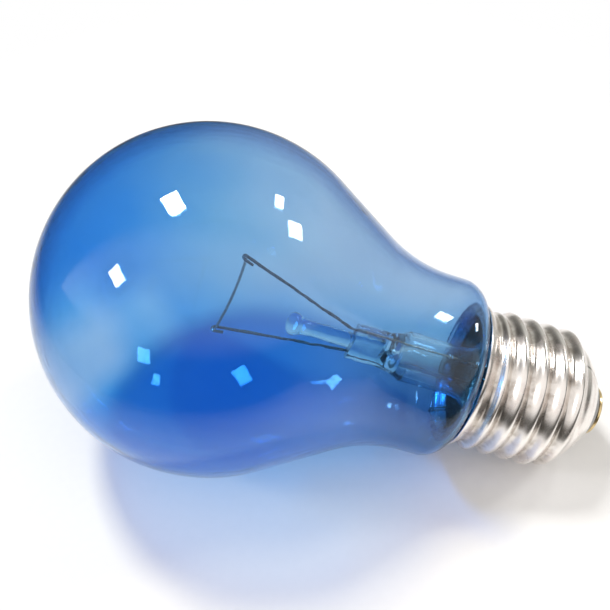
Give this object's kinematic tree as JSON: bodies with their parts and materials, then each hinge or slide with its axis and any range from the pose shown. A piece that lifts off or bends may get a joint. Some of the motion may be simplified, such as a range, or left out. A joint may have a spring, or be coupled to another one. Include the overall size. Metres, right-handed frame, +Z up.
{
  "type": "screw cap filament lamp",
  "caption": "Clear blue glass filament lamp with a pear-shaped envelope and a screw cap, lying on its side.",
  "frame": {"origin": "on the table plane, under the middle of the lying lamp's box", "axes": "+Z up from the table, +X the way the cap points (its axis slopes 16.7 degrees down to the table), +Y level and across the lamp"},
  "size_m": [0.1014, 0.061, 0.061],
  "materials": {
    "blue_glass": "clear glass coloured light blue all through",
    "clear_glass": "clear colourless glass",
    "lead_wire": "drawn nickel wire, satin",
    "copper_seal": "oxidised copper-coated wire seen red through the glass",
    "tungsten": "drawn tungsten wire, wound in a fine coil",
    "outer_wire": "bare copper wire",
    "cap_metal": "rolled thin sheet, nickel plated, bright",
    "cement": "baked basing cement, dark and matt",
    "black_glass": "opaque black glass, glossy",
    "contact_metal": "stamped brass, bright",
    "solder": "soft solder, melted smooth"
  },
  "bodies": {
    "root": {"glass_envelope": "blue_glass", "glass_stem": "clear_glass", "exhaust_tube": "clear_glass", "support_cane": "clear_glass", "inner_lead_upper": "lead_wire", "inner_lead_lower": "lead_wire", "seal_wire_upper": "copper_seal", "seal_wire_lower": "copper_seal", "filament": "tungsten", "centre_lead": "outer_wire", "side_lead": "outer_wire", "cap_shell": "cap_metal", "basing_cement": "cement", "cap_insulator": "black_glass", "centre_contact": "contact_metal", "centre_solder": "solder", "side_solder": "solder"}
  },
  "joints": []
}
